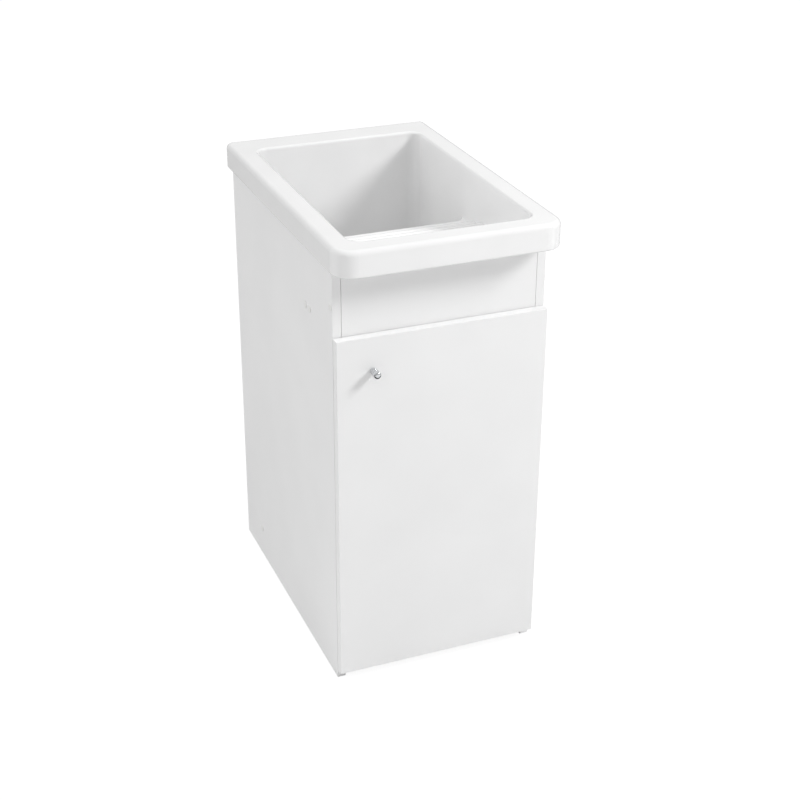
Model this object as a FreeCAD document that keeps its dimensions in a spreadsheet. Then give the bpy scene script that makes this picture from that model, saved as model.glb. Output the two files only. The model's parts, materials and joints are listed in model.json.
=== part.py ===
import FreeCAD, Part
import os
import Sketcher

# Laundry sink cabinet: a fireclay sink with a washboard on a narrow cabinet with one door.
# Millimetres. X runs to the right, Y to the wall behind, Z up. The origin is on the floor,
# midway across the sink's width and depth.

SIZES = {
    # Sink, outside
    "sink_width": 390,
    "sink_depth": 600,
    "total_height": 820,
    "apron_height": 45,
    "front_corner_radius": 35,
    "back_corner_radius": 12,
    "rim_outer_rounding": 9,
    "rim_inner_rounding": 5,
    "apron_lower_rounding": 3,
    # Sink, bowl and washboard
    "rim_side": 38,
    "rim_front": 42,
    "rim_back": 62,
    "bowl_depth": 300,
    "ceramic_wall": 12,
    "bowl_corner_radius": 22,
    "bowl_floor_rounding": 26,
    "bowl_outer_rounding": 30,
    "washboard_start_drop": 34,
    "washboard_end_drop": 97,
    "well_length": 230,
    "crest_land": 9,
    "ridge_radius": 8,
    "ridge_sink": 4,
    "waste_hole_radius": 24,
    "waste_seat_radius": 36.5,
    "waste_seat_depth": 2.5,
    # Cabinet boards
    "side_overhang": 9,
    "front_overhang": 54,
    "back_overhang": 12,
    "board": 15,
    "edge_rounding": 0.8,
    "bottom_panel_height": 53,
    "bottom_panel_setback": 1,
    "fascia_drop": 18,
    "fascia_height": 117,
    "joint_line_width": 0.8,
    "joint_line_depth": 2.5,
    "cross_rail_drop": 118.5,
    "cross_rail_depth": 61,
    "upper_rail_drop": 40,
    "upper_rail_height": 115,
    "lower_rail_height": 80,
    "wall_hole_radius": 4,
    "wall_hole_inset": 41,
    # Screws, dowels and cover caps at the board joints
    "screw_radius": 3.5,
    "screw_length": 50,
    "screw_head_radius": 5,
    "screw_head_length": 4,
    "screw_sunk": 0.6,
    "dowel_radius": 4,
    "dowel_in_side": 11,
    "dowel_in_board": 19,
    "dowel_end_play": 0.5,
    "hole_clearance": 0.05,
    "cap_radius": 6,
    "cap_height": 1.4,
    "fascia_screw_drop": 67,
    "fascia_dowel_rise": 25,
    "rail_screw_inset": 20,
    "bottom_screw_from_back": 100,
    "bottom_dowel_front": 60,
    "bottom_dowel_middle": 230,
    "rail_dowel_inset": 25,
    # Door, knob and bumpers
    "door_board": 15,
    "door_bottom": 17,
    "door_drop": 118,
    "door_reveal": 0.5,
    "door_gap": 1.6,
    "knob_from_edge": 62,
    "knob_from_top": 59,
    "knob_base_radius": 5.6,
    "knob_head_radius": 6.8,
    "knob_length": 23,
    "knob_rounding": 1.8,
    "knob_screw_radius": 2,
    "knob_screw_bite": 9,
    "knob_screw_head_radius": 4,
    "knob_screw_head_length": 1.2,
    "bumper_radius": 4,
    "bumper_inset": 7,
    "bumper_from_end": 24,
    "seat_clearance": 0.3,
    # Hinge pins, in plan: in from the cabinet's outer side, and behind or before the panels' front edge
    "hinge_from_end": 90,
    "outer_arm_pin_in": 26.3,
    "outer_arm_pin_back": 10.5,
    "outer_cup_pin_in": 9.5,
    "outer_cup_pin_front": 6.4,
    "inner_arm_pin_in": 44,
    "inner_arm_pin_back": 6.5,
    "inner_cup_pin_in": 15.1,
    "inner_cup_pin_front": 4.1,
    "hinge_pin_radius": 1.15,
    "pin_clearance": 0.05,
    # Hinge links
    "link_half_thickness": 1.2,
    "link_height": 5,
    "link_split": 0.4,
    "link_eye_radius": 2.7,
    "outer_link_rise": 7.5,
    "outer_link_reach": 12,
    "inner_link_rise": 3,
    "inner_link_start": 4,
    "inner_link_reach": 12,
    "open_eye_clearance": 2,
    "open_eye_wall": 0.65,
    # Hinge cup
    "cup_radius": 17.5,
    "cup_edge_distance": 4,
    "cup_depth": 12.9,
    "cup_wall": 1,
    "cup_flange": 0.8,
    "cup_flange_height": 60,
    "cup_flange_width": 26,
    "cup_screw_spacing": 45,
    "cup_screw_offset": 9.5,
    "cup_screw_radius": 1.75,
    "cup_screw_head_radius": 3.6,
    "cup_screw_bite": 10,
    "screw_dome": 0.6,
    "cup_flange_rounding": 8,
    # Hinge arm and mounting plate
    "arm_sheet": 1.5,
    "arm_half_height": 10,
    "arm_length": 64,
    "arm_nose_reach": 4,
    "arm_shoulder": 27,
    "arm_panel_clearance": 3,
    "plate_base": 2.2,
    "plate_boss": 7,
    "plate_from_front": 37,
    "plate_wing_width": 16,
    "plate_wing_height": 60,
    "plate_boss_length": 40,
    "plate_screw_spacing": 32,
    "plate_screw_radius": 2.3,
    "plate_screw_head_radius": 4,
    "plate_screw_head_length": 1.6,
    "plate_screw_bite": 10,
    "arm_screw_radius": 2.5,
    "arm_screw_head_radius": 4.2,
    "arm_screw_head_length": 2.2,
    "arm_screw_bite": 4.5,
    # Waste fitting
    "gasket_thickness": 1.5,
    "flange_radius": 35.5,
    "flange_thickness": 2,
    "flange_tube_radius": 21.5,
    "flange_tube_wall": 1.3,
    "flange_tube_length": 27,
    "flange_grid_depth": 12,
    "flange_grid_thickness": 2,
    "grid_hole_radius": 4,
    "grid_hole_circle": 12.5,
    "waste_screw_radius": 3,
    "waste_screw_head_radius": 5,
    "waste_screw_head_length": 3,
    "body_flange_radius": 34,
    "body_flange_thickness": 3,
    "body_cup_radius": 27,
    "body_cup_depth": 26,
    "body_thread_radius": 23.9,
    "body_wall": 2.6,
    "body_length": 66,
    "body_bridge": 5,
    "body_bridge_width": 11,
    "plug_radius": 24,
    "plug_thickness": 2.2,
    "plug_stem_radius": 15,
    "plug_stem_length": 6,
    "plug_seal_thickness": 2.5,
    "plug_knob_radius": 5,
    "plug_knob_height": 9,
    "plug_knob_neck_radius": 2.8,
    # Bottle trap and outlet
    "pipe_radius": 20,
    "pipe_wall": 1.8,
    "nut_radius": 29,
    "nut_height": 20,
    "nut_lip": 2.5,
    "nut_rib_radius": 2.6,
    "tube_collar_radius": 23.4,
    "tube_collar": 2.5,
    "tube_length": 190,
    "socket_drop": 58,
    "socket_depth": 22,
    "pipe_in_socket": 18,
    "bottle_radius": 34,
    "bottle_shoulder": 14,
    "bottle_height": 74,
    "bottle_wall": 2.5,
    "outlet_drop": 30,
    "pipe_stop_radius": 22.5,
    "pipe_stop_width": 3,
    "outlet_reach": 58,
    "trap_cup_radius": 38,
    "trap_cup_height": 68,
    "trap_cup_overlap": 20,
    "trap_cup_rounding": 12,
    "cup_seal_thickness": 2,
}


class Dim:
    """A length with the value it has now and the sheet expression that gives it."""

    def __init__(self, value, text):
        self.value = value
        self.text = text

    def __add__(self, other):
        other = dim(other)
        return Dim(self.value + other.value, f"({self.text} + {other.text})")

    __radd__ = __add__

    def __sub__(self, other):
        other = dim(other)
        return Dim(self.value - other.value, f"({self.text} - {other.text})")

    def __rsub__(self, other):
        return dim(other) - self

    def __mul__(self, other):
        other = dim(other)
        return Dim(self.value * other.value, f"({self.text} * {other.text})")

    __rmul__ = __mul__

    def __truediv__(self, other):
        other = dim(other)
        return Dim(self.value / other.value, f"({self.text} / {other.text})")

    def __neg__(self):
        return dim(0) - self


def dim(number):
    return number if isinstance(number, Dim) else Dim(float(number), f"{float(number)}")


def hypotenuse(a, b):
    value = (a.value**2 + b.value**2) ** 0.5
    return Dim(value, f"hypot({a.text}; {b.text})")


def make_sheet(doc):
    sheet = doc.addObject("Spreadsheet::Sheet", "Sizes")
    for row, (alias, value) in enumerate(SIZES.items(), start=1):
        sheet.set(f"A{row}", alias)
        sheet.set(f"B{row}", f"{value}")
        sheet.setAlias(f"B{row}", alias)
    return sheet


doc = FreeCAD.newDocument("LaundrySinkCabinet")
make_sheet(doc)
doc.recompute()
size = {alias: Dim(float(value), f"Sizes.{alias}") for alias, value in SIZES.items()}
nodes = []


def bind(thing, prop, length):
    thing.setExpression(prop, dim(length).text)


def new_body(label, x=0, y=0, z=0):
    body = doc.addObject("PartDesign::Body", label)
    body.Label = label
    for axis, place in zip("xyz", (x, y, z)):
        bind(body, f"Placement.Base.{axis}", place)
    nodes.append(body)
    return body


def origin_feature(body, role):
    return next(feature for feature in body.Origin.OriginFeatures if feature.Role == role)


def new_sketch(body, plane, offset=0):
    sketch = body.newObject("Sketcher::SketchObject", f"{body.Name}_sketch")
    sketch.AttachmentSupport = [(origin_feature(body, plane), "")]
    sketch.MapMode = "FlatFace"
    bind(sketch, "AttachmentOffset.Base.z", offset)
    return sketch


def pin_point(sketch, geometry, end, across, up):
    for kind, length in (("DistanceX", across), ("DistanceY", up)):
        index = sketch.addConstraint(Sketcher.Constraint(kind, -1, 1, geometry, end, length.value))
        bind(sketch, f"Constraints[{index}]", length)


def add_polygon(sketch, points):
    """A closed outline of straight lines, each corner held by its two coordinates."""
    corners = [(dim(across), dim(up)) for across, up in points]
    spots = [FreeCAD.Vector(across.value, up.value, 0) for across, up in corners]
    count = len(spots)
    first = sketch.GeometryCount
    sketch.addGeometry([Part.LineSegment(spots[i], spots[(i + 1) % count]) for i in range(count)], False)
    for i in range(count):
        sketch.addConstraint(Sketcher.Constraint("Coincident", first + i, 2, first + (i + 1) % count, 1))
    for i, (across, up) in enumerate(corners):
        pin_point(sketch, first + i, 1, across, up)


def add_circle(sketch, across, up, radius):
    across, up, radius = dim(across), dim(up), dim(radius)
    centre = FreeCAD.Vector(across.value, up.value, 0)
    circle = sketch.addGeometry(Part.Circle(centre, FreeCAD.Vector(0, 0, 1), radius.value), False)
    index = sketch.addConstraint(Sketcher.Constraint("Radius", circle, radius.value))
    bind(sketch, f"Constraints[{index}]", radius)
    pin_point(sketch, circle, 3, across, up)


def rectangle(x0, x1, y0, y1):
    return [(x0, y0), (x1, y0), (x1, y1), (x0, y1)]


def settle(body, feature):
    body.Tip = feature
    doc.recompute()
    return feature


def pad(body, plane, offset, length, outline=None, circles=(), backwards=False):
    """Adds material from the plane, along its normal or against it."""
    sketch = new_sketch(body, plane, offset)
    if outline is not None:
        add_polygon(sketch, outline)
    for circle in circles:
        add_circle(sketch, *circle)
    feature = body.newObject("PartDesign::Pad", f"{body.Name}_pad")
    feature.Profile = sketch
    feature.Reversed = backwards
    bind(feature, "Length", length)
    sketch.Visibility = False
    return settle(body, feature)


def pocket(body, plane, offset, length, outline=None, circles=(), forwards=False):
    """Cuts from the plane, against its normal, or along it where forwards is set."""
    before = body.Shape.Volume
    sketch = new_sketch(body, plane, offset)
    if outline is not None:
        add_polygon(sketch, outline)
    for circle in circles:
        add_circle(sketch, *circle)
    feature = body.newObject("PartDesign::Pocket", f"{body.Name}_pocket")
    feature.Profile = sketch
    feature.Reversed = forwards
    bind(feature, "Length", length)
    settle(body, feature)
    if not body.Shape.Volume < before:
        raise RuntimeError(f"{feature.Name} in {body.Label} cuts nothing")
    return feature


def revolve(body, outline, plane="XZ_Plane", axis="V_Axis", cut=False):
    """Turns an outline of radius and height about the body's own axis."""
    before = body.Shape.Volume if cut else None
    sketch = new_sketch(body, plane)
    add_polygon(sketch, outline)
    kind = "Groove" if cut else "Revolution"
    feature = body.newObject(f"PartDesign::{kind}", f"{body.Name}_{kind.lower()}")
    feature.Profile = sketch
    feature.ReferenceAxis = (sketch, [axis])
    feature.Angle = 360
    settle(body, feature)
    if cut and not body.Shape.Volume < before:
        raise RuntimeError(f"{feature.Name} in {body.Label} cuts nothing")
    return feature


def edges_where(shape, test):
    return [f"Edge{i}" for i, edge in enumerate(shape.Edges, start=1) if test(edge)]


def fillet(body, radius, test):
    base = body.Tip
    names = edges_where(base.Shape, test)
    if not names:
        raise RuntimeError(f"no edge of {body.Label} to round")
    feature = body.newObject("PartDesign::Fillet", f"{body.Name}_fillet")
    feature.Base = (base, names)
    bind(feature, "Radius", radius)
    return settle(body, feature)


def near(a, b):
    return abs(a - dim(b).value) < TOUCH


def runs_along(edge, axis):
    """True for a straight edge that runs along one axis: 0 is X, 1 is Y and 2 is Z."""
    start, end = edge.Vertexes[0].Point, edge.Vertexes[-1].Point
    return near(edge.Length, abs(end[axis] - start[axis]))


def lies_at(edge, axis, place):
    """True where the whole edge lies at one coordinate along an axis."""
    box = edge.BoundBox
    low = (box.XMin, box.YMin, box.ZMin)[axis]
    high = (box.XMax, box.YMax, box.ZMax)[axis]
    return near(low, place) and near(high, place)


TOUCH = 0.01
RAIL_PLACE_SHARE = 0.48
RIDGES = 8
RIDGE_SHARES = [(number + 0.6) / (RIDGES + 0.5) for number in range(RIDGES)]

# Levels and planes that several pieces share
half_width = size["sink_width"] / 2 - size["side_overhang"]
inner_half = half_width - size["board"]
sink_front = -size["sink_depth"] / 2
sink_back = size["sink_depth"] / 2
carcass_back = sink_back - size["back_overhang"]
carcass_front = sink_front + size["front_overhang"]
rim_top = size["total_height"]
carcass_top = rim_top - size["apron_height"]
bowl_half = size["sink_width"] / 2 - size["rim_side"]
bowl_front = sink_front + size["rim_front"]
bowl_back = sink_back - size["rim_back"]
bowl_floor = rim_top - size["bowl_depth"]
bowl_under = bowl_floor - size["ceramic_wall"]
well_front = bowl_back - size["well_length"]
crest_front = well_front - size["crest_land"]
washboard_top = rim_top - size["washboard_start_drop"]
crest_top = rim_top - size["washboard_end_drop"]
waste_y = (well_front + bowl_back) / 2
fascia_top = carcass_top - size["fascia_drop"]
fascia_bottom = fascia_top - size["fascia_height"]
cross_rail_bottom = carcass_top - size["cross_rail_drop"]
upper_rail_top = carcass_top - size["upper_rail_drop"]
upper_rail_bottom = upper_rail_top - size["upper_rail_height"]
cross_rail_room = crest_front - size["ceramic_wall"] - carcass_front - size["board"]
cross_rail_middle = carcass_front + size["board"] + cross_rail_room * RAIL_PLACE_SHARE
cross_rail_front = cross_rail_middle - size["cross_rail_depth"] / 2
lower_rail_bottom = size["bottom_panel_height"] + size["board"]
lower_rail_top = lower_rail_bottom + size["lower_rail_height"]
door_top = carcass_top - size["door_drop"]
door_back = carcass_front - size["door_gap"]
door_front = door_back - size["door_board"]
door_half = half_width - size["door_reveal"]
overrun = size["board"]


def make_sink():
    """One fireclay casting: the rim with its apron, the washboard and the deep well behind it."""
    body = new_body("sink_basin")
    half = size["sink_width"] / 2
    wall = size["ceramic_wall"]
    pad(body, "XY_Plane", carcass_top, size["apron_height"], rectangle(-half, half, sink_front, sink_back))
    for front, radius in ((True, size["front_corner_radius"]), (False, size["back_corner_radius"])):
        plane = sink_front if front else sink_back
        fillet(body, radius, lambda edge: runs_along(edge, 2) and lies_at(edge, 1, plane))
    fillet(body, size["apron_lower_rounding"], lambda edge: lies_at(edge, 2, carcass_top))

    # The hanging bowl, seen from the side: under the washboard, then down and round the well
    outer_half = bowl_half + wall
    root = carcass_top + wall
    underside = [
        (bowl_front - wall, root),
        (bowl_front - wall, carcass_top),
        (crest_front - wall, crest_top - wall),
        (well_front - wall, bowl_under),
        (bowl_back + wall, bowl_under),
        (bowl_back + wall, root),
    ]
    pad(body, "YZ_Plane", -outer_half, outer_half * 2, underside)
    fillet(
        body,
        size["bowl_outer_rounding"],
        lambda edge: lies_at(edge, 2, bowl_under) and not runs_along(edge, 1)
        or runs_along(edge, 1) and lies_at(edge, 2, bowl_under),
    )

    # The deep well
    well = rectangle(-bowl_half, bowl_half, well_front, bowl_back)
    pocket(body, "XY_Plane", rim_top, size["bowl_depth"], well)
    corner = size["bowl_corner_radius"]
    fillet(
        body,
        corner,
        lambda edge: runs_along(edge, 2)
        and (near(edge.Vertexes[0].Z, bowl_floor) or near(edge.Vertexes[-1].Z, bowl_floor))
        and abs(abs(edge.Vertexes[0].X) - bowl_half.value) < TOUCH,
    )
    fillet(body, size["bowl_floor_rounding"], lambda edge: lies_at(edge, 2, bowl_floor))

    # The shallow part above the sloping washboard
    above = [
        (bowl_front, rim_top + overrun),
        (bowl_front, washboard_top),
        (crest_front, crest_top),
        (well_front, crest_top),
        (bowl_back - corner, crest_top),
        (bowl_back - corner, rim_top + overrun),
    ]
    pocket(body, "YZ_Plane", -bowl_half, bowl_half * 2, above, forwards=True)
    fillet(
        body,
        corner,
        lambda edge: runs_along(edge, 2)
        and lies_at(edge, 1, bowl_front)
        and near(abs(edge.Vertexes[0].X), bowl_half),
    )

    # Rounded ridges across the washboard, evenly spaced down its slope
    run = crest_front - bowl_front
    fall = crest_top - washboard_top
    length = hypotenuse(run, fall)
    ridges = []
    for share in RIDGE_SHARES:
        along = length * share
        y = bowl_front + along * run / length + size["ridge_sink"] * fall / length
        z = washboard_top + along * fall / length - size["ridge_sink"] * run / length
        ridges.append((y, z, size["ridge_radius"]))
    pad(body, "YZ_Plane", -bowl_half, bowl_half * 2, circles=ridges)

    # Waste hole with a sunk seat for the flange
    seat = size["waste_seat_radius"]
    pocket(body, "XY_Plane", bowl_floor, size["waste_seat_depth"], circles=[(0, waste_y, seat)])
    hole = [(0, waste_y, size["waste_hole_radius"])]
    pocket(body, "XY_Plane", bowl_floor, size["ceramic_wall"] + overrun, circles=hole)

    # Softened glaze edges round the top
    def outer_top(edge):
        box = edge.BoundBox
        inside = abs(edge.CenterOfMass.x) < bowl_half.value + TOUCH
        inside = inside and bowl_front.value - TOUCH < edge.CenterOfMass.y < bowl_back.value + TOUCH
        return near(box.ZMin, rim_top) and near(box.ZMax, rim_top) and not inside

    def inner_top(edge):
        return lies_at(edge, 2, rim_top) and not outer_top(edge)

    fillet(body, size["rim_inner_rounding"], inner_top)
    fillet(body, size["rim_outer_rounding"], outer_top)


def joint_rows():
    """Each board's fixings at its two ends: kind, Y and Z on the side panel's face."""
    half_board = size["board"] / 2
    fascia_y = carcass_front + half_board
    cross_z = cross_rail_bottom + half_board
    bottom_z = size["bottom_panel_height"] + half_board
    rail_y = carcass_back - half_board
    inset = size["rail_screw_inset"]
    dowel_inset = size["rail_dowel_inset"]
    return {
        "front_fascia": [
            ("screw", fascia_y, carcass_top - size["fascia_screw_drop"]),
            ("dowel", fascia_y, fascia_bottom + size["fascia_dowel_rise"]),
        ],
        "cross_rail": [
            ("screw", cross_rail_front + inset, cross_z),
            ("screw", cross_rail_front + size["cross_rail_depth"] - inset, cross_z),
        ],
        "bottom_panel": [
            ("screw", carcass_back - size["bottom_screw_from_back"], bottom_z),
            ("dowel", carcass_front + size["bottom_dowel_front"], bottom_z),
            ("dowel", carcass_front + size["bottom_dowel_middle"], bottom_z),
        ],
        "back_rail_upper": [
            ("dowel", rail_y, upper_rail_bottom + dowel_inset),
            ("dowel", rail_y, upper_rail_top - dowel_inset),
        ],
        "back_rail_lower": [
            ("dowel", rail_y, lower_rail_bottom + dowel_inset),
            ("dowel", rail_y, lower_rail_top - dowel_inset),
        ],
    }


def spots(rows, kind, radius):
    return [(y, z, radius) for row_kind, y, z in rows if row_kind == kind]


def make_side_panels(joints):
    rows = [row for board_rows in joints.values() for row in board_rows]
    board = size["board"]
    clearance = size["hole_clearance"]
    sunk = size["screw_sunk"]
    head = size["screw_head_length"]
    for side in ("left", "right"):
        body = new_body(f"side_panel_{side}")
        left = side == "left"
        outer = -half_width if left else half_width
        inner = -inner_half if left else inner_half
        outline = rectangle(carcass_front, carcass_back, 0, carcass_top)
        pad(body, "YZ_Plane", outer, board, outline, backwards=not left)
        fillet(body, size["edge_rounding"], lambda edge: lies_at(edge, 0, outer))
        shanks = spots(rows, "screw", size["screw_radius"] + clearance)
        pocket(body, "YZ_Plane", outer, board, circles=shanks, forwards=left)
        heads = spots(rows, "screw", size["screw_head_radius"] + clearance)
        pocket(body, "YZ_Plane", outer, head + sunk, circles=heads, forwards=left)
        dowels = spots(rows, "dowel", size["dowel_radius"] + clearance)
        depth = size["dowel_in_side"] + size["dowel_end_play"]
        pocket(body, "YZ_Plane", inner, depth, circles=dowels, forwards=not left)
        if not left:
            for middle in hinge_heights():
                place = carcass_front + size["plate_from_front"]
                half_pitch = size["plate_screw_spacing"] / 2
                radius = size["plate_screw_radius"] + clearance
                holes = [(place, middle - half_pitch, radius), (place, middle + half_pitch, radius)]
                bite = size["plate_screw_bite"] + size["dowel_end_play"]
                pocket(body, "YZ_Plane", inner, bite, circles=holes, forwards=True)


def drill_ends(body, rows):
    """Pilot holes for screws and sockets for dowels in both ends of a board."""
    clearance = size["hole_clearance"]
    screw_depth = size["screw_length"] + size["screw_sunk"] - size["board"] + size["dowel_end_play"]
    dowel_depth = size["dowel_in_board"] + size["dowel_end_play"]
    for kind, radius, depth in (
        ("screw", size["screw_radius"] + clearance, screw_depth),
        ("dowel", size["dowel_radius"] + clearance, dowel_depth),
    ):
        holes = spots(rows, kind, radius)
        if holes:
            pocket(body, "YZ_Plane", -inner_half, depth, circles=holes, forwards=True)
            pocket(body, "YZ_Plane", inner_half, depth, circles=holes)


def make_boards(joints):
    board = size["board"]
    boards = {
        "front_fascia": (carcass_front, carcass_front + board, fascia_bottom, fascia_top),
        "cross_rail": (
            cross_rail_front,
            cross_rail_front + size["cross_rail_depth"],
            cross_rail_bottom,
            cross_rail_bottom + board,
        ),
        "bottom_panel": (
            carcass_front + size["bottom_panel_setback"],
            carcass_back,
            size["bottom_panel_height"],
            size["bottom_panel_height"] + board,
        ),
        "back_rail_upper": (carcass_back - board, carcass_back, upper_rail_bottom, upper_rail_top),
        "back_rail_lower": (carcass_back - board, carcass_back, lower_rail_bottom, lower_rail_top),
    }
    for name, (y0, y1, z0, z1) in boards.items():
        body = new_body(name)
        pad(body, "YZ_Plane", -inner_half, inner_half * 2, rectangle(y0, y1, z0, z1))
        drill_ends(body, joints[name])
        if name == "front_fascia":
            # The edging stops short of the panels, which leaves a fine dark line at each end
            line = rectangle(y0 - overrun, y0 + size["joint_line_depth"], z0 - overrun, z1 + overrun)
            width = size["joint_line_width"]
            pocket(body, "YZ_Plane", -inner_half, width, line, forwards=True)
            pocket(body, "YZ_Plane", inner_half, width, line)
        if name == "back_rail_upper":
            middle = (z0 + z1) / 2
            reach = inner_half - size["wall_hole_inset"]
            radius = size["wall_hole_radius"]
            holes = [(-reach, middle, radius), (reach, middle, radius)]
            depth = board + overrun * 2
            pocket(body, "XZ_Plane", -carcass_back - overrun, depth, circles=holes, forwards=True)


def make_fixings(joints):
    """Screws, dowels and cover caps, one group of each for each side."""
    rows = [row for board_rows in joints.values() for row in board_rows]
    sunk = size["screw_sunk"]
    head = size["screw_head_length"]
    for side in ("left", "right"):
        left = side == "left"
        outer = -half_width if left else half_width
        inner = -inner_half if left else inner_half
        start = outer + sunk if left else outer - sunk
        neck = start + head if left else start - head
        screws = new_body(f"panel_screws_{side}")
        heads = spots(rows, "screw", size["screw_head_radius"])
        shanks = spots(rows, "screw", size["screw_radius"])
        pad(screws, "YZ_Plane", start, head, circles=heads, backwards=not left)
        pad(screws, "YZ_Plane", neck, size["screw_length"] - head, circles=shanks, backwards=not left)
        dowels = new_body(f"dowels_{side}")
        depth = size["dowel_in_side"]
        root = inner - depth if left else inner + depth
        pegs = spots(rows, "dowel", size["dowel_radius"])
        length = depth + size["dowel_in_board"]
        pad(dowels, "YZ_Plane", root, length, circles=pegs, backwards=not left)
        caps = new_body(f"cover_caps_{side}")
        discs = spots(rows, "screw", size["cap_radius"])
        pad(caps, "YZ_Plane", outer, size["cap_height"], circles=discs, backwards=left)


def hinge_heights():
    return [size["door_bottom"] + size["hinge_from_end"], door_top - size["hinge_from_end"]]


def cup_centre_in():
    """The cup's centre, in from the cabinet's outer side."""
    return size["door_reveal"] + size["cup_edge_distance"] + size["cup_radius"]


def make_door():
    body = new_body("door_panel")
    outline = rectangle(-door_half, door_half, size["door_bottom"], door_top)
    pad(body, "XZ_Plane", -door_back, size["door_board"], outline)
    fillet(body, size["edge_rounding"], lambda edge: lies_at(edge, 1, door_front))
    clearance = size["hole_clearance"]
    cup_x = half_width - cup_centre_in()
    cups = [(cup_x, middle, size["cup_radius"] + clearance) for middle in hinge_heights()]
    depth = size["cup_depth"] + clearance
    pocket(body, "XZ_Plane", -door_back, depth, circles=cups, forwards=True)
    screw_x = cup_x - size["cup_screw_offset"]
    half_pitch = size["cup_screw_spacing"] / 2
    radius = size["cup_screw_radius"] + clearance
    steps = (-half_pitch, half_pitch)
    holes = [(screw_x, middle + step, radius) for middle in hinge_heights() for step in steps]
    bite = size["cup_screw_bite"] + clearance
    pocket(body, "XZ_Plane", -door_back, bite, circles=holes, forwards=True)
    knob_x = -door_half + size["knob_from_edge"]
    knob_z = door_top - size["knob_from_top"]
    bore = [(knob_x, knob_z, size["knob_screw_radius"] + clearance)]
    pocket(body, "XZ_Plane", -door_back, size["door_board"], circles=bore, forwards=True)


def make_knob():
    """A short turned knob that widens a little towards its flat end."""
    knob_x = -door_half + size["knob_from_edge"]
    knob_z = door_top - size["knob_from_top"]
    length = size["knob_length"]
    base = size["knob_base_radius"]
    head = size["knob_head_radius"]
    bore = size["knob_screw_radius"] + size["hole_clearance"]
    bite = size["knob_screw_bite"]
    body = new_body("door_knob", knob_x, door_front, knob_z)
    outline = [
        (0, -length),
        (head, -length),
        (base, 0),
        (bore, 0),
        (bore, -bite),
        (0, -bite),
    ]
    revolve(body, outline, plane="XY_Plane")
    fillet(body, size["knob_rounding"], lambda edge: lies_at(edge, 1, -length))

    screw = new_body("knob_screw", knob_x, door_back, knob_z)
    radius = size["knob_screw_radius"]
    wide = size["knob_screw_head_radius"]
    rise = size["knob_screw_head_length"]
    reach = size["door_board"] + bite - size["hole_clearance"]
    outline = [
        (0, rise),
        (wide - rise, rise),
        (wide, 0),
        (radius, 0),
        (radius, -reach),
        (0, -reach),
    ]
    revolve(screw, outline, plane="XY_Plane")


def make_bumpers():
    """Two clear pads on the door's back that meet the left panel's front edge."""
    body = new_body("door_bumpers")
    x = -door_half + size["bumper_inset"]
    inset = size["bumper_from_end"]
    heights = [size["door_bottom"] + inset, door_top - inset]
    discs = [(x, z, size["bumper_radius"]) for z in heights]
    rise = size["door_gap"] - size["seat_clearance"]
    pad(body, "XZ_Plane", -door_back, rise, circles=discs, backwards=True)


def beside(base, tip, run, side):
    """The point that lies run along the line from base to tip and side to the left of it."""
    across = tip[0] - base[0]
    up = tip[1] - base[1]
    length = hypotenuse(across, up)
    return (
        base[0] + (run * across - side * up) / length,
        base[1] + (run * up + side * across) / length,
    )


def hinge_pins():
    """The four pins in plan, from the panel's outer front corner: X to the right, Y to the back."""
    return {
        "outer_arm": (-size["outer_arm_pin_in"], size["outer_arm_pin_back"]),
        "outer_cup": (-size["outer_cup_pin_in"], -size["outer_cup_pin_front"]),
        "inner_arm": (-size["inner_arm_pin_in"], size["inner_arm_pin_back"]),
        "inner_cup": (-size["inner_cup_pin_in"], -size["inner_cup_pin_front"]),
    }


def make_links(name, place):
    """The two links of one hinge. Each is a bent strip that runs from its cup pin to its arm pin."""
    pins = hinge_pins()
    pin = size["hinge_pin_radius"] + size["pin_clearance"]
    half = size["link_half_thickness"]

    # The outer link first stands square out of the cup, so that it clears the rim when the door is open
    base, tip = pins["outer_cup"], pins["outer_arm"]
    span = hypotenuse(tip[0] - base[0], tip[1] - base[1])
    rise = size["outer_link_rise"]
    reach = size["outer_link_reach"]
    path = [
        (-half, 0),
        (-half, rise + half),
        (reach, rise + half),
        (span, half),
        (span, -half),
        (reach, rise - half),
        (half, rise - half),
        (half, 0),
    ]
    body = new_body(f"{name}_outer_link", *place)
    low = -size["link_split"] - size["link_height"]
    finish_link(body, path, base, tip, low, size["link_eye_radius"], pin)

    # The inner link is bent only a little. Its cup eye is wider than the pin, which it follows with some play
    base, tip = pins["inner_cup"], pins["inner_arm"]
    span = hypotenuse(tip[0] - base[0], tip[1] - base[1])
    rise = size["inner_link_rise"]
    start = size["inner_link_start"]
    reach = size["inner_link_reach"]
    path = [
        (0, half),
        (start, rise + half),
        (reach, rise + half),
        (span, half),
        (span, -half),
        (reach, rise - half),
        (start, rise - half),
        (0, -half),
    ]
    body = new_body(f"{name}_inner_link", *place)
    open_hole = size["hinge_pin_radius"] + size["open_eye_clearance"]
    finish_link(body, path, base, tip, size["link_split"], open_hole + size["open_eye_wall"], open_hole)


def finish_link(body, path, base, tip, low, cup_eye, cup_hole):
    """The strip from its path of runs and sides, with an eye at each end."""
    outline = [beside(base, tip, run, side) for run, side in path]
    height = size["link_height"]
    pin = size["hinge_pin_radius"] + size["pin_clearance"]
    pad(body, "XY_Plane", low, height, outline)
    pad(body, "XY_Plane", low, height, circles=[(*base, cup_eye)])
    pad(body, "XY_Plane", low, height, circles=[(*tip, size["link_eye_radius"])])
    holes = [(*base, cup_hole), (*tip, pin)]
    pocket(body, "XY_Plane", low + height, height, circles=holes)


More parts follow.
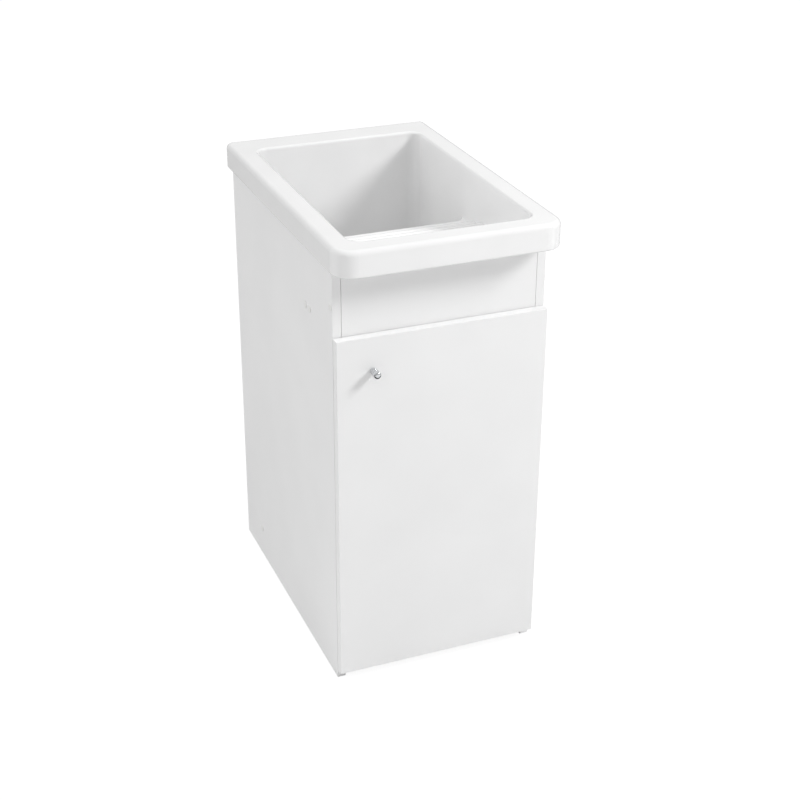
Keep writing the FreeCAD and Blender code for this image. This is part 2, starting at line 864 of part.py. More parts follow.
def make_hinge_cup(name, place):
    """The cup let into the door, with its screwed flange and the two pins across it."""
    body = new_body(f"{name}_hinge_cup", *place)
    back = -size["door_gap"]
    centre = -cup_centre_in()
    flange = size["cup_flange"]
    half_tall = size["cup_flange_height"] / 2
    edge = centre + size["cup_radius"]
    screw_x = centre - size["cup_screw_offset"]
    outline = rectangle(screw_x - size["cup_flange_width"] / 2, edge, -half_tall, half_tall)
    pad(body, "XZ_Plane", -back, flange, outline, backwards=True)
    rounding = size["cup_flange_rounding"]
    fillet(body, rounding, lambda item: runs_along(item, 1))
    depth = size["cup_depth"]
    wall = size["cup_wall"]
    pad(body, "XZ_Plane", -back, depth, circles=[(centre, 0, size["cup_radius"])])
    hollow = [(centre, 0, size["cup_radius"] - wall)]
    pocket(body, "XZ_Plane", -back - flange, depth + flange - wall, circles=hollow, forwards=True)
    half_pitch = size["cup_screw_spacing"] / 2
    radius = size["cup_screw_radius"] + size["hole_clearance"]
    holes = [(screw_x, -half_pitch, radius), (screw_x, half_pitch, radius)]
    pocket(body, "XZ_Plane", -back - flange, flange * 2, circles=holes, forwards=True)
    pins = hinge_pins()
    reach = size["cup_radius"] - wall * 2
    for which in ("outer_cup", "inner_cup"):
        across, up = pins[which]
        away = across - centre
        half_span = Dim(
            (reach.value**2 - away.value**2) ** 0.5,
            f"sqrt({reach.text} ^ 2 - {away.text} ^ 2)",
        )
        circle = [(across, up, size["hinge_pin_radius"])]
        length = half_span + wall + size["link_split"] / 2
        if which == "outer_cup":
            pad(body, "XY_Plane", -half_span - wall, length, circles=circle)
        else:
            pad(body, "XY_Plane", half_span + wall, length, circles=circle, backwards=True)


def make_cup_screws(name, place):
    body = new_body(f"{name}_cup_screws", *place)
    back = -size["door_gap"]
    top = back + size["cup_flange"]
    screw_x = -cup_centre_in() - size["cup_screw_offset"]
    half_pitch = size["cup_screw_spacing"] / 2
    shank = size["cup_screw_radius"]
    head = size["cup_screw_head_radius"]
    bite = size["cup_screw_bite"]
    shanks = [(screw_x, -half_pitch, shank), (screw_x, half_pitch, shank)]
    heads = [(screw_x, -half_pitch, head), (screw_x, half_pitch, head)]
    pad(body, "XZ_Plane", -top, size["screw_dome"], circles=heads, backwards=True)
    pad(body, "XZ_Plane", -top, bite + size["cup_flange"], circles=shanks)


def make_arm(name, place):
    """A pressed channel that carries the two arm pins at its nose and is screwed to the plate."""
    body = new_body(f"{name}_hinge_arm", *place)
    pins = hinge_pins()
    half = size["arm_half_height"]
    sheet = size["arm_sheet"]
    reach = size["arm_nose_reach"]
    near_panel = -size["board"] - size["arm_panel_clearance"]
    web = -size["board"] - size["plate_base"] - size["plate_boss"] - size["hole_clearance"]
    outer_pin, inner_pin = pins["outer_arm"], pins["inner_arm"]
    end = size["arm_length"]
    shoulder = size["arm_shoulder"]
    far = inner_pin[0] - reach
    side = [
        (near_panel, end),
        (near_panel, outer_pin[1] + reach),
        (outer_pin[0] + reach, outer_pin[1] - reach),
        (far, inner_pin[1] - reach),
        (far, inner_pin[1] + reach),
        (web - sheet, shoulder),
        (web - sheet, end),
    ]
    pad(body, "XY_Plane", -half, half * 2, side)
    inside = [
        (0, end + sheet),
        (0, -reach),
        (far - reach, -reach),
        (far - reach, inner_pin[1] + reach - sheet),
        (far, inner_pin[1] + reach - sheet),
        (web, shoulder - sheet),
        (web, end + sheet),
    ]
    pocket(body, "XY_Plane", half - sheet, (half - sheet) * 2, inside)
    for spot in (outer_pin, inner_pin):
        pad(body, "XY_Plane", -half, half * 2, circles=[(*spot, size["hinge_pin_radius"])])
    hole = [(size["plate_from_front"], 0, size["arm_screw_radius"] + size["hole_clearance"])]
    pocket(body, "YZ_Plane", web + sheet, overrun, circles=hole)


def make_plate(name, place):
    """The cross-shaped mounting plate on the side panel, with the boss that the arm sits on."""
    body = new_body(f"{name}_hinge_plate", *place)
    face = -size["board"]
    middle = size["plate_from_front"]
    half_wing = size["plate_wing_width"] / 2
    half_tall = size["plate_wing_height"] / 2
    wing = rectangle(middle - half_wing, middle + half_wing, -half_tall, half_tall)
    pad(body, "YZ_Plane", face, size["plate_base"], wing, backwards=True)
    fillet(body, half_wing - size["plate_base"], lambda edge: runs_along(edge, 0))
    half_long = size["plate_boss_length"] / 2
    half_boss = size["arm_half_height"] - size["arm_sheet"] - size["seat_clearance"]
    boss = rectangle(middle - half_long, middle + half_long, -half_boss, half_boss)
    pad(body, "YZ_Plane", face, size["plate_base"] + size["plate_boss"], boss, backwards=True)
    half_pitch = size["plate_screw_spacing"] / 2
    radius = size["plate_screw_radius"] + size["hole_clearance"]
    holes = [(middle, -half_pitch, radius), (middle, half_pitch, radius)]
    pocket(body, "YZ_Plane", face + overrun, overrun * 2, circles=holes)
    thread = [(middle, 0, size["arm_screw_radius"] + size["hole_clearance"])]
    top = face - size["plate_base"] - size["plate_boss"]
    bite = size["arm_screw_bite"] + size["hole_clearance"]
    pocket(body, "YZ_Plane", top, bite, circles=thread, forwards=True)


def make_plate_screws(name, place):
    body = new_body(f"{name}_plate_screws", *place)
    face = -size["board"]
    middle = size["plate_from_front"]
    half_pitch = size["plate_screw_spacing"] / 2
    top = face - size["plate_base"]
    shank = size["plate_screw_radius"]
    head = size["plate_screw_head_radius"]
    shanks = [(middle, -half_pitch, shank), (middle, half_pitch, shank)]
    heads = [(middle, -half_pitch, head), (middle, half_pitch, head)]
    pad(body, "YZ_Plane", top, size["plate_screw_head_length"], circles=heads, backwards=True)
    pad(body, "YZ_Plane", top, size["plate_base"] + size["plate_screw_bite"], circles=shanks)

    body = new_body(f"{name}_arm_screw", *place)
    web = face - size["plate_base"] - size["plate_boss"] - size["hole_clearance"] - size["arm_sheet"]
    centre = (middle, 0)
    head = size["arm_screw_head_radius"]
    pad(body, "YZ_Plane", web, size["arm_screw_head_length"], circles=[(*centre, head)], backwards=True)
    reach = size["arm_sheet"] + size["arm_screw_bite"]
    pad(body, "YZ_Plane", web, reach, circles=[(*centre, size["arm_screw_radius"])])


def make_hinges():
    for name, height in zip(("lower", "upper"), hinge_heights()):
        place = (half_width, carcass_front, height)
        make_hinge_cup(name, place)
        make_cup_screws(name, place)
        make_links(name, place)
        make_arm(name, place)
        make_plate(name, place)
        make_plate_screws(name, place)


def make_waste():
    """The flange in the bowl, its two gaskets, the body below and the screw that draws them together."""
    seat = bowl_floor - size["waste_seat_depth"]
    gasket = size["gasket_thickness"]
    tube = size["flange_tube_radius"]
    bore = tube - size["flange_tube_wall"]
    ceramic_hole = size["waste_hole_radius"]
    body = new_body("waste_gasket_upper", 0, waste_y, seat)
    edge = size["body_flange_radius"]
    inner = tube + size["seat_clearance"]
    revolve(body, [(inner, 0), (edge, 0), (edge, gasket), (inner, gasket)])

    body = new_body("waste_flange", 0, waste_y, seat + gasket)
    rim = size["flange_radius"]
    thick = size["flange_thickness"]
    length = size["flange_tube_length"]
    outline = [
        (bore, thick - length),
        (tube, thick - length),
        (tube, 0),
        (rim, 0),
        (rim, thick / 2),
        (rim - thick, thick),
        (bore + thick, thick),
        (bore, 0),
    ]
    revolve(body, outline)
    grid_top = thick - size["flange_grid_depth"]
    grid = size["flange_grid_thickness"]
    pad(body, "XY_Plane", grid_top, grid, circles=[(0, 0, (bore + tube) / 2)], backwards=True)
    hub = size["waste_screw_radius"] + size["hole_clearance"]
    circle = size["grid_hole_circle"]
    turned = [(circle * across, circle * up) for across, up in CIRCLE_SHARES]
    holes = [(0, 0, hub)] + [(across, up, size["grid_hole_radius"]) for across, up in turned]
    pocket(body, "XY_Plane", grid_top, grid, circles=holes)

    body = new_body("waste_gasket_lower", 0, waste_y, bowl_under - gasket)
    revolve(body, [(ceramic_hole, 0), (edge, 0), (edge, gasket), (ceramic_hole, gasket)])

    top = bowl_under - gasket
    body = new_body("waste_body", 0, waste_y, top)
    wall = size["body_wall"]
    cup = size["body_cup_radius"]
    deep = size["body_cup_depth"]
    thread = size["body_thread_radius"]
    flange = size["body_flange_thickness"]
    outline = [
        (cup - wall, 0),
        (edge, 0),
        (edge, -flange),
        (cup, -flange),
        (cup, -deep),
        (thread, -deep - wall),
        (thread, -size["body_length"]),
        (thread - wall, -size["body_length"]),
        (thread - wall, -deep),
        (cup - wall, -deep + wall),
    ]
    revolve(body, outline)
    bridge = size["body_bridge"]
    half_bridge = size["body_bridge_width"] / 2
    reach = cup - wall / 2
    bar = rectangle(-half_bridge, half_bridge, -reach, reach)
    pad(body, "XY_Plane", -deep + wall, bridge, bar, backwards=True)
    pocket(body, "XY_Plane", -deep + wall, bridge, circles=[(0, 0, hub)])

    grid_level = seat + gasket + grid_top
    bridge_level = top - deep + wall
    body = new_body("waste_screw", 0, waste_y, grid_level)
    radius = size["waste_screw_radius"]
    head = size["waste_screw_head_radius"]
    cap = size["waste_screw_head_length"]
    end = grid_level - bridge_level + bridge
    revolve(body, [(0, cap), (head, cap), (head, 0), (radius, 0), (radius, -end), (0, -end)])


CIRCLE_SHARES = [(1, 0), (0.5, 0.866), (-0.5, 0.866), (-1, 0), (-0.5, -0.866), (0.5, -0.866)]


def make_plug():
    """A lift-out plug: a metal disc with a pull knob, and a rubber ring round its stem."""
    flange_top = bowl_floor - size["waste_seat_depth"] + size["gasket_thickness"] + size["flange_thickness"]
    rest = flange_top + size["seat_clearance"]
    body = new_body("drain_plug", 0, waste_y, rest)
    disc = size["plug_radius"]
    thick = size["plug_thickness"]
    stem = size["plug_stem_radius"]
    deep = size["plug_stem_length"]
    knob = size["plug_knob_radius"]
    tall = size["plug_knob_height"]
    neck = size["plug_knob_neck_radius"]
    outline = [
        (0, -deep),
        (stem, -deep),
        (stem, 0),
        (disc, 0),
        (disc, thick / 2),
        (disc - thick, thick),
        (neck, thick),
        (neck, thick + tall / 2),
        (knob, thick + tall / 2),
        (knob, thick + tall - neck / 2),
        (neck, thick + tall),
        (0, thick + tall),
    ]
    revolve(body, outline)

    body = new_body("plug_seal", 0, waste_y, rest)
    bore = size["flange_tube_radius"] - size["flange_tube_wall"] - size["seat_clearance"]
    ring = size["plug_seal_thickness"]
    top = -thick - size["seat_clearance"]
    revolve(body, [(stem, top - ring), (bore, top - ring), (bore, top), (stem, top)])


def make_nut(label, y, z, opens):
    """A ribbed union nut with a lip that holds the pipe. It opens upwards, downwards or to the front."""
    body = new_body(label, 0, y, z)
    radius = size["nut_radius"]
    tall = size["nut_height"]
    lip = size["nut_lip"]
    thread = size["body_thread_radius"] + size["hole_clearance"]
    pipe = size["pipe_radius"] + size["hole_clearance"]
    chamfer = lip / 2
    outline = [
        (pipe, 0),
        (radius - chamfer, 0),
        (radius, chamfer),
        (radius, tall),
        (thread, tall),
        (thread, lip),
        (pipe, lip),
    ]
    if opens != "up":
        outline = [(across, -up) for across, up in outline]
    revolve(body, outline, plane="XY_Plane" if opens == "front" else "XZ_Plane")
    rib = size["nut_rib_radius"]
    ribs = [(radius * across, radius * up, rib) for across, up in RIB_SHARES]
    face = "XZ_Plane" if opens == "front" else "XY_Plane"
    pocket(body, face, 0, tall, circles=ribs, forwards=opens != "down")


def make_ring(label, y, z, inner, outer, thick):
    """A flat sealing ring that lies level."""
    body = new_body(label, 0, y, z)
    pad(body, "XY_Plane", 0, thick, circles=[(0, 0, outer), (0, 0, inner)])


CUT_SHARE = 0.3
DIAGONAL_SHARE = 0.7071
STRAIGHT_SHARES = [(1, 0), (0, 1), (-1, 0), (0, -1)]
DIAGONAL_SHARES = [(a * DIAGONAL_SHARE, b * DIAGONAL_SHARE) for a in (1, -1) for b in (1, -1)]
RIB_SHARES = STRAIGHT_SHARES + DIAGONAL_SHARES


def make_trap():
    """Bottle trap: a tube that dips into the bottle's water, a removable cup, and a pipe to the wall."""
    pipe = size["pipe_radius"]
    wall = size["pipe_wall"]
    clearance = size["hole_clearance"]
    gasket = size["gasket_thickness"]
    body_end = bowl_under - gasket - size["body_length"]

    collar_top = body_end - gasket
    edge = size["tube_collar_radius"]
    make_ring("tube_washer", waste_y, collar_top, pipe - wall, edge, gasket)

    body = new_body("trap_tube", 0, waste_y, collar_top)
    collar = size["tube_collar"]
    length = size["tube_length"]
    outline = [
        (pipe - wall, -length),
        (pipe, -length),
        (pipe, -collar),
        (edge, -collar),
        (edge, 0),
        (pipe - wall, 0),
    ]
    revolve(body, outline)
    make_nut("waste_nut", waste_y, collar_top - collar - size["nut_lip"], "up")

    socket_top = collar_top - size["socket_drop"]
    bottle = size["bottle_radius"]
    shoulder = size["bottle_shoulder"]
    tall = size["bottle_height"]
    deep = size["socket_depth"]
    thick = size["bottle_wall"]
    body = new_body("trap_body", 0, waste_y, socket_top)
    thread = size["body_thread_radius"]
    low = -deep - shoulder - tall
    dome = -deep - shoulder
    outline = [
        (pipe + clearance, 0),
        (thread, 0),
        (thread, -deep),
        (bottle, dome),
        (bottle, low),
        (bottle - thick, low),
        (bottle - thick, dome - thick),
        (pipe + clearance, -deep - thick),
    ]
    revolve(body, outline)
    outlet_z = dome - size["outlet_drop"]
    reach = size["outlet_reach"]
    pad(body, "XZ_Plane", 0, reach, circles=[(0, outlet_z, thread)], backwards=True)
    pocket(body, "XZ_Plane", -reach, deep, circles=[(0, outlet_z, pipe + clearance)], forwards=True)
    outlet = [(0, outlet_z, pipe - wall)]
    pocket(body, "XZ_Plane", -reach, reach - pipe - thick, circles=outlet, forwards=True)
    open_bottle = [(0, 0, bottle - thick)]
    pocket(body, "XY_Plane", dome - thick, tall, circles=open_bottle)
    make_ring("tube_seal", waste_y, socket_top, pipe + clearance, thread, gasket)
    make_nut("tube_nut", waste_y, socket_top + gasket + size["nut_lip"], "down")

    cup_top = socket_top + low + size["trap_cup_overlap"]
    cup = size["trap_cup_radius"]
    high = size["trap_cup_height"]
    body = new_body("trap_cup", 0, waste_y, cup_top)
    inner = bottle + clearance
    rounding = size["trap_cup_rounding"]
    outline = [
        (inner, 0),
        (cup, 0),
        (cup, rounding - high),
        (cup - rounding * CUT_SHARE, rounding * CUT_SHARE - high),
        (cup - rounding, -high),
        (0, -high),
        (0, -high + thick),
        (bottle - thick, -high + thick),
        (bottle - thick, -size["trap_cup_overlap"] - size["cup_seal_thickness"]),
        (inner, -size["trap_cup_overlap"] - size["cup_seal_thickness"]),
    ]
    revolve(body, outline)
    ring = size["cup_seal_thickness"]
    make_ring("cup_seal", waste_y, socket_top + low - ring, bottle - thick, bottle, ring)

    pipe_z = socket_top + outlet_z
    body = new_body("outlet_pipe", 0, 0, pipe_z)
    start = waste_y + reach - size["pipe_in_socket"]
    pad(body, "XZ_Plane", -start, sink_back - start, circles=[(0, 0, pipe)], backwards=True)
    # A moulded ring stops the pipe behind its nut
    stop = waste_y + reach + gasket + size["nut_lip"] * 2
    ring = [(0, 0, size["pipe_stop_radius"])]
    pad(body, "XZ_Plane", -stop, size["pipe_stop_width"], circles=ring, backwards=True)
    pocket(body, "XZ_Plane", -sink_back, sink_back - start, circles=[(0, 0, pipe - wall)], forwards=True)
    body = new_body("outlet_seal", 0, waste_y + reach, pipe_z)
    seal = [(0, 0, thread), (0, 0, pipe + clearance)]
    pad(body, "XZ_Plane", 0, gasket, circles=seal, backwards=True)
    make_nut("outlet_nut", waste_y + reach + gasket + size["nut_lip"], pipe_z, "front")


joints = joint_rows()
make_sink()
make_side_panels(joints)
make_boards(joints)
make_fixings(joints)
make_door()
make_knob()
make_bumpers()
make_hinges()
make_waste()
make_plug()
make_trap()
doc.recompute()

failed = [thing.Name for thing in doc.Objects if "Invalid" in thing.State or "Error" in thing.State]
if failed:
    raise RuntimeError(f"failed objects: {failed}")
for node in nodes:
    if node.Shape.isNull() or not node.Shape.isValid():
        raise RuntimeError(f"{node.Label} has no valid shape")

os.makedirs("parts", exist_ok=True)
for node in nodes:
    node.Shape.exportStep(f"parts/{node.Label}.step")
print(f"{len(nodes)} sub-parts written")
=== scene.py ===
import json
import math

import bpy
from mathutils import Matrix, Vector


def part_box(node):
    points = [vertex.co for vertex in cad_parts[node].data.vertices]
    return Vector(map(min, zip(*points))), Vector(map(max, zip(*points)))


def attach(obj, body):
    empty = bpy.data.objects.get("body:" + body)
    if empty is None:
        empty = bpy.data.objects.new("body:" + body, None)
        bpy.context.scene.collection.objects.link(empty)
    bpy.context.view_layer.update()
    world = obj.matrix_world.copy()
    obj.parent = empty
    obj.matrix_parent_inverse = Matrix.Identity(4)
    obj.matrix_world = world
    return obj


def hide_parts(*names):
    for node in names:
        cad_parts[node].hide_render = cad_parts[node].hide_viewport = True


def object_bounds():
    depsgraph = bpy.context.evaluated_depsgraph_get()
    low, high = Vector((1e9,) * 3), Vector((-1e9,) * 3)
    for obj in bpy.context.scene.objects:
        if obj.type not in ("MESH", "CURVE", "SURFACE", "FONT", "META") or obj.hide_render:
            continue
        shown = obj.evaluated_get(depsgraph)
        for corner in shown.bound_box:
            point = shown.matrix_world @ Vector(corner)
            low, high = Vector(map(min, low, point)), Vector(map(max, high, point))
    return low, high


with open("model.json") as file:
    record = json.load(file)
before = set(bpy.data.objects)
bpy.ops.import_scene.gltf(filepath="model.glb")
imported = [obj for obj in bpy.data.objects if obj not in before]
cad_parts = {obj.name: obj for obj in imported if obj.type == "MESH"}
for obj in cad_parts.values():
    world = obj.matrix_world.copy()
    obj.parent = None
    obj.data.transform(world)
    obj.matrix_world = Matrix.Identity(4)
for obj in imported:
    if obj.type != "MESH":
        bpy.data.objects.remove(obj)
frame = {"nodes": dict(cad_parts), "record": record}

# The looks of a laundry sink cabinet: a glazed fireclay sink with a washboard, on a narrow cabinet
# of white boards with one door. Lengths are in metres, in the same frame as the solids.

cad_low, cad_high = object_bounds()
nodes = frame["nodes"]

MM = 0.001


# Colours and shader nodes

# Nearly all of a noise pattern lies in this range, which each finish spreads between its two ends
PATTERN_LOW = 0.3
PATTERN_HIGH = 0.7


def linear(hex_colour):
    """The linear colour of an sRGB hex value."""
    shares = [int(hex_colour[place : place + 2], 16) / 255 for place in (1, 3, 5)]
    return [s / 12.92 if s <= 0.04045 else ((s + 0.055) / 1.055) ** 2.4 for s in shares] + [1]


def add_node(tree, kind, inputs=None, **settings):
    """Adds one node with its settings. Each input gets a value, or a link from an output."""
    node = tree.nodes.new(kind)
    for name, value in settings.items():
        setattr(node, name, value)
    for name, value in (inputs or {}).items():
        if isinstance(value, bpy.types.NodeSocket):
            tree.links.new(value, node.inputs[name])
        else:
            node.inputs[name].default_value = value
    return node


def new_material(name):
    """A material with nothing in it yet but the place on the piece, which patterns start from."""
    material = bpy.data.materials.new(name)
    material.use_nodes = True
    tree = material.node_tree
    tree.nodes.clear()
    place = add_node(tree, "ShaderNodeTexCoord").outputs["Object"]
    return material, tree, place


def finish_material(tree, colour, gloss, relief, sockets):
    """Turns patterns into a surface.

    colour is a pattern with its darker and lighter tone, gloss is a pattern with its lowest and
    highest roughness, and relief is a pattern with its depth in millimetres and its strength, or
    None. The sockets are the same all over the surface.
    """
    pattern, dark, light = colour
    ramp = add_node(tree, "ShaderNodeValToRGB", {"Fac": pattern.outputs["Fac"]})
    ends = ((PATTERN_LOW, dark), (PATTERN_HIGH, light))
    for stop, (position, tone) in zip(ramp.color_ramp.elements, ends):
        stop.position = position
        stop.color = linear(tone)
    pattern, lowest, highest = gloss
    roughness = add_node(
        tree,
        "ShaderNodeMapRange",
        {
            "Value": pattern.outputs["Fac"],
            "From Min": PATTERN_LOW,
            "From Max": PATTERN_HIGH,
            "To Min": lowest,
            "To Max": highest,
        },
    )
    inputs = {
        "Base Color": ramp.outputs["Color"],
        "Roughness": roughness.outputs["Result"],
        **sockets,
    }
    if relief:
        pattern, depth_mm, strength = relief
        bump = add_node(
            tree,
            "ShaderNodeBump",
            {"Height": pattern.outputs["Fac"], "Distance": depth_mm * MM, "Strength": strength},
        )
        inputs["Normal"] = bump.outputs["Normal"]
    surface = add_node(tree, "ShaderNodeBsdfPrincipled", inputs)
    add_node(tree, "ShaderNodeOutputMaterial", {"Surface": surface.outputs["BSDF"]})


# Finishes. A noise of scale 1 / (90 * MM) has lumps about 90 mm wide


def glazed_fireclay():
    """Cast fireclay under a fired white glaze: very smooth and glossy, with a slow waviness."""
    material, tree, place = new_material("glazed fireclay")
    drift = add_node(tree, "ShaderNodeTexNoise", {"Vector": place, "Scale": 1 / (90 * MM)})
    sheen = add_node(tree, "ShaderNodeTexNoise", {"Vector": place, "Scale": 1 / (12 * MM)})
    wave = add_node(
        tree, "ShaderNodeTexNoise", {"Vector": place, "Scale": 1 / (28 * MM), "Detail": 1.0}
    )
    finish_material(
        tree,
        colour=(drift, "#F4F4F4", "#F7F7F7"),
        gloss=(sheen, 0.1, 0.16),
        relief=(wave, 0.25, 0.25),
        sockets={"IOR": 1.5, "Coat Weight": 0.2, "Coat Roughness": 0.04},
    )
    return material


def melamine_board():
    """Chipboard faced with white melamine paper: satin, with a fine pearl texture pressed in."""
    material, tree, place = new_material("white melamine board")
    drift = add_node(tree, "ShaderNodeTexNoise", {"Vector": place, "Scale": 1 / (140 * MM)})
    # The real pearl is about 0.6 mm wide and is drawn twice as coarse so that it shows
    pearl = add_node(
        tree, "ShaderNodeTexNoise", {"Vector": place, "Scale": 1 / (1.2 * MM), "Detail": 3.0}
    )
    finish_material(
        tree,
        colour=(drift, "#F4F4F4", "#F7F7F7"),
        gloss=(pearl, 0.4, 0.52),
        relief=(pearl, 0.03, 0.35),
        sockets={"IOR": 1.48},
    )
    return material


def moulded_polypropylene():
    """White polypropylene from a mould with a spark-eroded skin: a soft, slightly waxy sheen."""
    material, tree, place = new_material("moulded polypropylene")
    cloud = add_node(tree, "ShaderNodeTexNoise", {"Vector": place, "Scale": 1 / (25 * MM)})
    skin = add_node(
        tree, "ShaderNodeTexNoise", {"Vector": place, "Scale": 1 / (0.9 * MM), "Detail": 3.0}
    )
    finish_material(
        tree,
        colour=(cloud, "#E6E6E3", "#EDEDEA"),
        gloss=(skin, 0.34, 0.46),
        relief=(skin, 0.04, 0.3),
        sockets={
            "IOR": 1.49,
            "Subsurface Weight": 0.08,
            "Subsurface Radius": (2 * MM, 2 * MM, 2 * MM),
        },
    )
    return material


def cap_plastic():
    """Injection-moulded polyethylene caps: white, a shade warmer and shinier than the boards."""
    material, tree, place = new_material("cap polyethylene")
    skin = add_node(tree, "ShaderNodeTexNoise", {"Vector": place, "Scale": 1 / (1.5 * MM)})
    finish_material(
        tree,
        colour=(skin, "#F0F0EE", "#F5F5F3"),
        gloss=(skin, 0.28, 0.36),
        relief=None,
        sockets={"IOR": 1.51},
    )
    return material


def polished_chrome():
    """Turned zinc, polished and chrome plated: a clear mirror with faint wiping marks."""
    material, tree, place = new_material("polished chrome")
    marks = add_node(
        tree, "ShaderNodeTexNoise", {"Vector": place, "Scale": 1 / (2.5 * MM), "Detail": 4.0}
    )
    finish_material(
        tree,
        colour=(marks, "#D6D8DB", "#E2E4E6"),
        gloss=(marks, 0.05, 0.11),
        relief=None,
        sockets={"Metallic": 1.0},
    )
    return material


def nickel_steel():
    """Cold-rolled steel, stamped and nickel plated: bright but soft, with rolling marks along Y."""
    material, tree, place = new_material("nickel plated steel")
    drawn_out = add_node(tree, "ShaderNodeMapping", {"Vector": place, "Scale": (1.0, 0.08, 1.0)})
    rolled = add_node(
        tree,
        "ShaderNodeTexNoise",
        {"Vector": drawn_out.outputs["Vector"], "Scale": 1 / (0.8 * MM), "Detail": 4.0},
    )
    dull = add_node(tree, "ShaderNodeTexNoise", {"Vector": place, "Scale": 1 / (6 * MM)})
    finish_material(
        tree,
        colour=(dull, "#B9B7B2", "#C8C6C1"),
        gloss=(rolled, 0.22, 0.36),
        relief=(rolled, 0.02, 0.3),
        sockets={"Metallic": 1.0},
    )
    return material


def zinc_steel():
    """Steel screws with a clear zinc plating: cool grey, uneven in tone from barrel plating."""
    material, tree, place = new_material("zinc plated steel")
    bloom = add_node(
        tree, "ShaderNodeTexNoise", {"Vector": place, "Scale": 1 / (1.6 * MM), "Detail": 3.0}
    )
    finish_material(
        tree,
        colour=(bloom, "#9FA3A8", "#B9BDC1"),
        gloss=(bloom, 0.26, 0.42),
        relief=None,
        sockets={"Metallic": 1.0},
    )
    return material


def turned_stainless():
    """Stainless steel turned on a lathe: rings about the waste's upright axis."""
    material, tree, place = new_material("turned stainless steel")
    low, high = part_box("waste_flange")
    centre = (low + high) / 2
    centred = add_node(tree, "ShaderNodeMapping", {"Vector": place, "Location": -centre})
    # Real turning marks are about 0.1 mm apart. These rings are 2.5 mm apart so that they show: the
    # texture runs through 20 radians in one unit, and one radian is 0.4 mm wide here
    rings = add_node(
        tree,
        "ShaderNodeTexWave",
        {"Vector": centred.outputs["Vector"], "Scale": 1 / (20 * 0.4 * MM), "Distortion": 0.4},
        wave_type="RINGS",
        rings_direction="Z",
    )
    drift = add_node(tree, "ShaderNodeTexNoise", {"Vector": place, "Scale": 1 / (8 * MM)})
    finish_material(
        tree,
        colour=(drift, "#BEC0C2", "#CBCDCF"),
        gloss=(rings, 0.18, 0.26),
        relief=(rings, 0.01, 0.3),
        sockets={"Metallic": 1.0},
    )
    return material


def nitrile_rubber():
    """Moulded black rubber seals: dead matt, with a dusting that lightens them."""
    material, tree, place = new_material("nitrile rubber")
    dust = add_node(
        tree, "ShaderNodeTexNoise", {"Vector": place, "Scale": 1 / (3 * MM), "Detail": 4.0}
    )
    finish_material(
        tree,
        colour=(dust, "#1D1D1E", "#2B2B2C"),
        gloss=(dust, 0.7, 0.85),
        relief=(dust, 0.03, 0.3),
        sockets={},
    )
    return material


def clear_polyurethane():
    """Self-adhesive door buffers of cast polyurethane: milky and rubbery."""
    material, tree, place = new_material("clear polyurethane")
    haze = add_node(tree, "ShaderNodeTexNoise", {"Vector": place, "Scale": 1 / (2 * MM)})
    finish_material(
        tree,
        colour=(haze, "#C9C9C6", "#D8D8D5"),
        gloss=(haze, 0.25, 0.35),
        relief=None,
        sockets={"Transmission Weight": 0.35, "IOR": 1.5},
    )
    return material


def beech_dowel():
    """Fluted beech dowels: pale brown with fine darker rays along the grain, here along X."""
    material, tree, place = new_material("beech")
    along = add_node(tree, "ShaderNodeMapping", {"Vector": place, "Scale": (0.06, 1.0, 1.0)})
    grain = add_node(
        tree,
        "ShaderNodeTexNoise",
        {
            "Vector": along.outputs["Vector"],
            "Scale": 1 / (0.7 * MM),
            "Detail": 5.0,
            "Roughness": 0.6,
        },
    )
    finish_material(
        tree,
        colour=(grain, "#B98F62", "#D2AD80"),
        gloss=(grain, 0.55, 0.7),
        relief=(grain, 0.05, 0.4),
        sockets={},
    )
    return material


FINISHES = {
    "glazed_fireclay": glazed_fireclay(),
    "white_panel": melamine_board(),
    "white_plastic": moulded_polypropylene(),
    "soft_clear": clear_polyurethane(),
    "zinc_steel": zinc_steel(),
    "nickel_steel": nickel_steel(),
    "stainless": turned_stainless(),
    "chrome": polished_chrome(),
    "rubber": nitrile_rubber(),
    "beech": beech_dowel(),
}
CAP_FINISH = cap_plastic()


def dress(thing, material):
    """Gives a piece one material all over."""
    thing.data.materials.clear()
    thing.data.materials.append(material)


for subpart in frame["record"]["subparts"]:
    dress(nodes[subpart["node"]], FINISHES[subpart["material_slot"]])


# Modelling helpers

# Points closer than this are one point
ONE_POINT = 0.01 * MM
SHARP_EDGE = math.radians(40)
SMOOTH_EDGE = math.radians(35)
ROUND_SIDES = 48


def start_from(thing):
    """Leaves one object selected and active."""
    bpy.ops.object.select_all(action="DESELECT")
    thing.select_set(True)
    bpy.context.view_layer.objects.active = thing


def settle(thing):
    """Puts the object's place, turn and size into its mesh."""
    start_from(thing)
    bpy.ops.object.transform_apply(location=True, rotation=True, scale=True)


def add_cylinder(name, radius, length, base, sides=ROUND_SIDES):
    """An upright cylinder that stands on its base point."""
    bpy.ops.object.select_all(action="DESELECT")
    bpy.ops.mesh.primitive_cylinder_add(
        vertices=sides,
        radius=radius,
        depth=length,
        location=Vector(base) + Vector((0, 0, length / 2)),
    )
    thing = bpy.context.object
    thing.name = name
    settle(thing)
    return thing


def round_edges(thing, width, segments):
    """Rounds every sharp edge, as far as the width and the room there allow."""
    bevel = thing.modifiers.new("rounding", "BEVEL")
    bevel.width = width
    bevel.segments = segments
    bevel.limit_method = "ANGLE"
    bevel.angle_limit = SHARP_EDGE
    start_from(thing)
    bpy.ops.object.modifier_apply(modifier=bevel.name)


